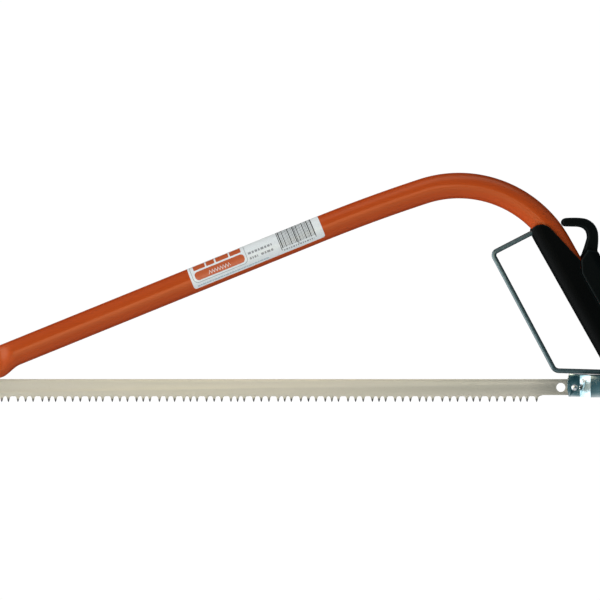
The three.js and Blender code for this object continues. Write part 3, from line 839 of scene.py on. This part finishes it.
for side in (-1, 1):
    tube = [(1.25 + 0.45 * math.cos(math.radians(30 * k)), 0.45 * math.sin(math.radians(30 * k)))
            for k in range(13)]
    lean = Vector((-0.45, side * 0.9, 0)).normalized()
    place = Vector((BLADE_SPAN / 2 + 5.4, side * 2.2, 0))
    turned_piece(
        "clevis_eyelet_" + ("left" if side < 0 else "right"), "bright", "clevis", "bright_steel",
        tube, place, [], 32, lean,
    )
for up, which in ((132, "upper"), (60, "lower")):
    screw(f"handle_screw_{which}", on_leg(up, -4), f"front_grip_screw_{which}")

front_pin = Vector((-BLADE_SPAN / 2, 0, 0))
turned_piece("nose_pin_turned", "bright", "blade", "bright_steel", [
    *rivet_head(2.5, 4.2, 7.3, 8.9, -1)[::-1],
    (2.5, 6.6), (2.2, 6.65), (2.2, 7.0), (2.5, 7.05), (2.5, 8.2), (2.1, 8.6), (0, 8.6),
], front_pin, ["nose_pin"])
turned_piece("nose_washer_turned", "plated", "blade", "bright_steel", [
    (2.8, -7.1), (2.9, -7.2), (5.0, -7.2), (5.2, -7.0), (5.2, -6.55), (5.05, -6.4), (2.9, -6.4), (2.8, -6.5),
    (2.8, -7.1),
], front_pin, ["nose_pin_washer"])


def make_clip():
    """A spring clip: an open ring with three fingers that reach into the pin's groove."""
    outline = arc((0, 0), 4.2, 35, 325, 40)
    for start in (325, 215, 105):
        outline += arc((0, 0), 2.3, start, start - 30, 5)
        if start > 105:
            outline += arc((0, 0), 3.2, start - 40, start - 100, 8)
    outline += arc((0, 0), 2.3, 75, 35, 5)
    bm = bmesh.new()
    prism(bm, [(front_pin.x + x, z) for x, z in outline], 6.4, 7.2)
    clip = new_piece("nose_clip_sprung", bm)
    add_bevel(clip, 0.12, 40, 2)
    apply_modifiers(clip, 35)
    return dress(clip, "plated", "blade", "plated_steel", "nose_pin_clip")


make_clip()
turned_piece("tube_plug_moulded", "plastic", "frame", "black_plastic", [
    (0, -10.4), (6.2, -10.4), (6.8, -10.8), (10.1, -10.8), (10.6, -10.6), (10.9, -10.1), (10.9, -9.35),
    (9.5, -9.35), (9.5, -5.1), (9.0, -4.5), (0, -4.5),
], pivot, ["tube_end_plug"], 64, -leg_down)


# ---------------------------------------------------------------- blade

BLADE_TOP = 7.2
BLADE_FLANK = -6.6
GULLET_TOP = -7.9
TOOTH_TIP = -12.6
BLADE_HALF = 0.35
BLADE_END = 7.5
TOOTH_REACH = 232.5
TOOTH_STEPS = (6.57, 6.57, 8.25, 5.72, 5.72, 7.95)
TOOTH_SET = 0.32


def tooth_tips():
    """Tip positions from the rear to the front; the teeth stand in groups."""
    tips = []
    x = TOOTH_REACH
    while x >= -TOOTH_REACH - 1:
        tips.append(x)
        x -= TOOTH_STEPS[(2 + len(tips) - 1) % len(TOOTH_STEPS)]
    return tips


def tooth_outline(tip):
    """One tooth, from its rear side to its front side: a narrow point on a flared root."""
    rear = [(2.5, GULLET_TOP + 0.25), (1.95, GULLET_TOP), (1.5, GULLET_TOP - 0.5), (1.18, GULLET_TOP - 1.3),
            (0.75, TOOTH_TIP + 1.5), (0.15, TOOTH_TIP)]
    return [(tip + x, z) for x, z in rear] + [(tip - x, z) for x, z in reversed(rear)]


def make_blade():
    left = -BLADE_SPAN / 2 - BLADE_END
    right = BLADE_SPAN / 2 + BLADE_END
    corner = 1.6
    tips = tooth_tips()
    outline = [
        *arc((right - corner, BLADE_TOP - corner), corner, 90, 0, 5),
        *arc((right - corner, BLADE_FLANK + corner), corner, 0, -90, 5),
        (tips[0] + 5.2, BLADE_FLANK),
    ]
    for tip in tips:
        outline += tooth_outline(tip)
    outline += [
        (tips[-1] - 5.2, BLADE_FLANK),
        *arc((left + corner, BLADE_FLANK + corner), corner, 270, 180, 5),
        *arc((left + corner, BLADE_TOP - corner), corner, 180, 90, 5),
    ]
    bm = bmesh.new()
    prism(bm, outline, -BLADE_HALF, BLADE_HALF)
    for level in (GULLET_TOP + 0.6, GULLET_TOP - 1.9):
        geometry = bm.verts[:] + bm.edges[:] + bm.faces[:]
        bmesh.ops.bisect_plane(bm, geom=geometry, plane_co=(0, 0, level), plane_no=(0, 0, 1))
    for vertex in bm.verts:
        depth = (GULLET_TOP - 0.8 - vertex.co.z) / (GULLET_TOP - 0.8 - TOOTH_TIP)
        if depth > 0:
            nearest = min(range(len(tips)), key=lambda k: abs(tips[k] - vertex.co.x))
            vertex.co.y = vertex.co.y * (1 - 0.25 * depth) + TOOTH_SET * depth * (1 if nearest % 2 else -1)
    blade = new_piece("saw_blade_toothed", bm, 30)
    for x, radius in ((-BLADE_SPAN / 2, 2.8), (-BLADE_SPAN / 2 + 11.6, 3.9),
                      (BLADE_SPAN / 2 - 11.6, 3.9), (BLADE_SPAN / 2, 2.3)):
        hole = bmesh.new()
        turned(hole, [(0, -3), (radius, -3), (radius, 3), (0, 3)], (x, 0, 0), sides=48)
        cut(blade, new_piece("hole_cutter", hole))
    add_bevel(blade, 0.09, 50, 2)
    apply_modifiers(blade, 30)
    return dress(blade, "blade", "blade", "blade_steel", "saw_blade")


make_blade()


# ---------------------------------------------------------------- floor, light and camera

FLOOR_Z = -0.9  # well under the saw, out of the low front light's way
FLOOR_HALF = 2.2
CAMERA_AIM = SAW @ Vector((27.85, 0, 75.6))
CAMERA_DISTANCE = 1.946
CAMERA_LENS = 135.0
SENSOR_WIDTH = 36.0


def make_floor():
    bm = bmesh.new()
    bmesh.ops.create_grid(bm, x_segments=1, y_segments=1, size=FLOOR_HALF)
    floor = new_piece("floor", bm, placed=False)
    floor.location = (0, 0, FLOOR_Z)
    look = Look("floor_look", Roughness=0.95)
    tone = look.noise(3.0, 2.0)
    look.feed("Base Color", look.blend(tone, (0.62, 0.62, 0.62, 1), (0.66, 0.66, 0.66, 1)))
    # The photograph's ground is plain white, so the camera sees the floor as white too.
    white = look.node("ShaderNodeEmission", {"Color": (1, 1, 1, 1), "Strength": 1.02}).outputs[0]
    path = look.node("ShaderNodeLightPath").outputs["Is Camera Ray"]
    mixed = look.node("ShaderNodeMixShader", {0: path, 1: look.shader.outputs[0], 2: white}).outputs[0]
    look.tree.links.new(mixed, look.tree.nodes["Material Output"].inputs["Surface"])
    floor.data.materials.append(look.material)
    floor.visible_glossy = False


def make_world():
    """White to the camera; as light, a low band in front, a teal-tinted dark one above, a panel at left."""
    world = bpy.data.worlds.new("studio")
    bpy.context.scene.world = world
    world.use_nodes = True
    tree = world.node_tree
    tree.nodes.clear()

    def node(kind, **inputs):
        made = tree.nodes.new(kind)
        for name, value in inputs.items():
            socket = made.inputs[name.replace("_", " ")]
            if isinstance(value, bpy.types.NodeSocket):
                tree.links.new(value, socket)
            else:
                socket.default_value = value
        return made

    def ramp_to(value, low, high, to_low, to_high):
        return node(
            "ShaderNodeMapRange", Value=value, From_Min=low, From_Max=high, To_Min=to_low, To_Max=to_high,
        ).outputs[0]

    coords = tree.nodes.new("ShaderNodeTexCoord").outputs["Generated"]
    place = node("ShaderNodeSeparateXYZ", Vector=coords).outputs
    height = ramp_to(place["Z"], -1, 1, 0, 1)
    bands = node("ShaderNodeValToRGB", Fac=height)
    levels = (
        (0.0, (0.7, 0.7, 0.7)), (0.24, (0.6, 0.6, 0.6)), (0.27, (0.9, 0.9, 0.9)), (0.325, (0.9, 0.9, 0.9)),
        (0.38, (0.10, 0.20, 0.22)), (0.5, (0.035, 0.10, 0.12)), (0.6, (0.06, 0.14, 0.16)),
        (0.75, (0.3, 0.3, 0.3)), (1.0, (0.4, 0.4, 0.4)),
    )
    stops = bands.color_ramp.elements
    while len(stops) < len(levels):
        stops.new(1.0)
    for stop, (position, level) in zip(stops, levels):
        stop.position = position
        stop.color = (*level, 1)
    behind = ramp_to(place["Y"], -0.1, 0.45, 1.0, 0.08)
    left = ramp_to(place["X"], -0.8, -0.68, 3.2, 0.0)
    studio = node("ShaderNodeBackground", Color=bands.outputs[0], Strength=behind)
    panel = node("ShaderNodeBackground", Color=(1, 1, 1, 1), Strength=left)
    soft = tree.nodes.new("ShaderNodeAddShader")
    tree.links.new(studio.outputs[0], soft.inputs[0])
    tree.links.new(panel.outputs[0], soft.inputs[1])
    white = node("ShaderNodeBackground", Color=(1, 1, 1, 1), Strength=1.02)
    path = tree.nodes.new("ShaderNodeLightPath").outputs["Is Camera Ray"]
    mix = node("ShaderNodeMixShader", Fac=path)
    tree.links.new(soft.outputs[0], mix.inputs[1])
    tree.links.new(white.outputs[0], mix.inputs[2])
    node("ShaderNodeOutputWorld", Surface=mix.outputs[0])


def area_light(name, place, target, size, power, colour=(1, 1, 1), glossy=True, diffuse=True, roll=0.0):
    lamp = bpy.data.lights.new(name, "AREA")
    lamp.shape = "RECTANGLE"
    lamp.size = size[0]
    lamp.size_y = size[1]
    lamp.energy = power
    lamp.color = colour
    holder = bpy.data.objects.new(name, lamp)
    holder.location = place
    facing = (Vector(target) - Vector(place)).to_track_quat("-Z", "Y").to_matrix().to_4x4()
    holder.rotation_euler = (facing @ Matrix.Rotation(math.radians(roll), 4, "Z")).to_euler()
    holder.visible_camera = False
    holder.visible_glossy = glossy
    holder.visible_diffuse = diffuse
    bpy.context.scene.collection.objects.link(holder)


def make_camera():
    lens = bpy.data.cameras.new("photo_camera")
    lens.lens = CAMERA_LENS
    lens.sensor_width = SENSOR_WIDTH
    lens.clip_start = 0.05
    holder = bpy.data.objects.new("photo_camera", lens)
    holder.location = CAMERA_AIM - Vector((0, CAMERA_DISTANCE, 0))
    holder.rotation_euler = (math.radians(90), 0, 0)
    bpy.context.scene.collection.objects.link(holder)
    bpy.context.scene.camera = holder


make_floor()
make_world()
area_light("front", (-0.1, -1.2, -0.45), (0, 0, 0.09), (1.6, 0.8), 9.6, glossy=False)
area_light("back", (0.3, 1.3, 0.5), (0, 0, 0.09), (1.6, 0.9), 6, glossy=False)
area_light("top", (0.1, -0.25, 1.1), (0, 0, 0.1), (1.2, 0.6), 2)
# A warm strip that runs along the tube and is seen only as its highlight.
area_light(
    "strip", (-0.1, -0.6, 0.12), (-0.1, 0, 0.1), (0.6, 0.26), 1.6, (1.0, 0.84, 0.6), diffuse=False, roll=22,
)
make_camera()
bpy.context.scene.view_settings.view_transform = "Standard"
